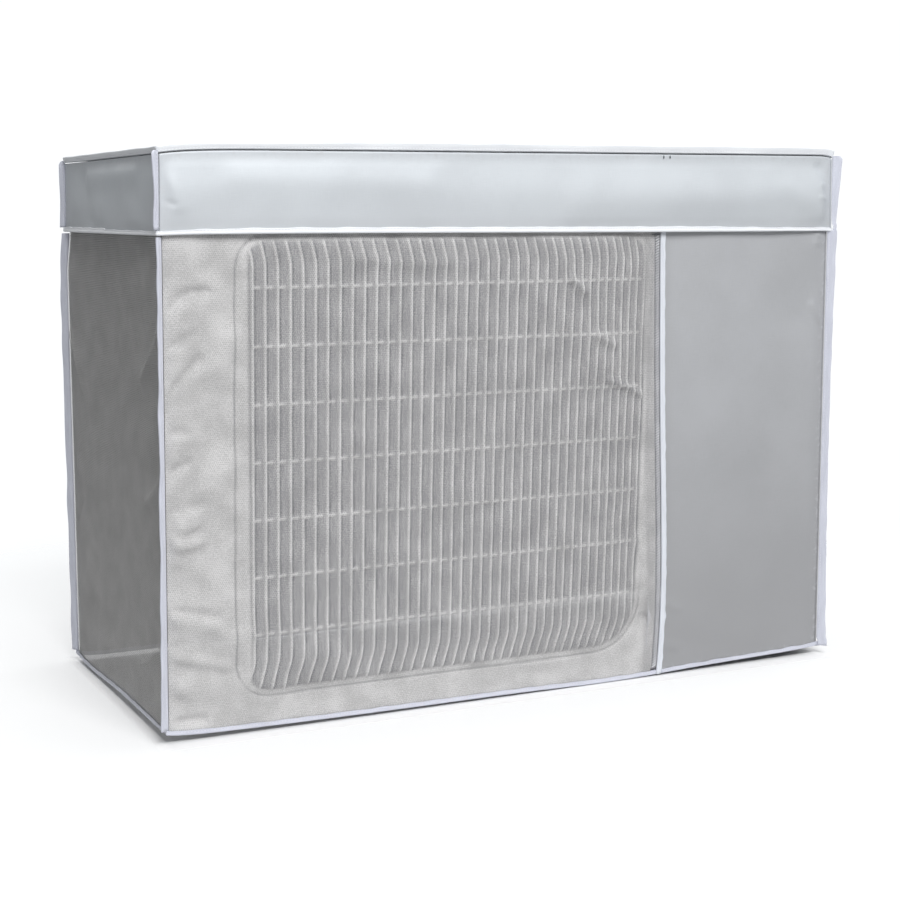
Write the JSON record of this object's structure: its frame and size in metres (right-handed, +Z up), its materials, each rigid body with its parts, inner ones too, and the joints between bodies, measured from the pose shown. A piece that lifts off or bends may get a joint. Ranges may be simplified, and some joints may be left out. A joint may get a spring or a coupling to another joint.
{
  "type": "air conditioner cover",
  "caption": "Fitted cloth cover for an outdoor air conditioner unit, silver with net at the front and left side, a zip and white bound seams, hollow and open below.",
  "frame": {"origin": "middle of the top cloth's underside, where the cover rests on the unit", "axes": "+X along the front's width, from the net side to the silver side; the front faces -Y; +Z up"},
  "size_m": [0.8556, 0.4096, 0.6204],
  "materials": {
    "silver_cloth": "silver coated woven cloth, soft sheen",
    "net": "fine white net, matt",
    "tape": "white binding tape, matt",
    "zip_strip": "woven strip, matt",
    "zip_teeth": "moulded nylon, satin"
  },
  "bodies": {
    "root": {"top_panel": "silver_cloth", "band_front": "silver_cloth", "band_back": "silver_cloth", "band_left": "silver_cloth", "band_right": "silver_cloth", "net_front": "net", "net_left": "net", "panel_front_right": "silver_cloth", "panel_right": "silver_cloth", "panel_back": "silver_cloth", "seam_top": "tape", "seam_band_front_left": "tape", "seam_band_front_right": "tape", "seam_band_back_right": "tape", "seam_band_back_left": "tape", "seam_body_front_left": "tape", "seam_body_front_right": "tape", "seam_body_back_right": "tape", "seam_body_back_left": "tape", "tape_band": "tape", "tape_hem": "tape", "tape_zip": "tape", "zip_strip": "zip_strip", "zip_teeth": "zip_teeth"}
  },
  "joints": []
}
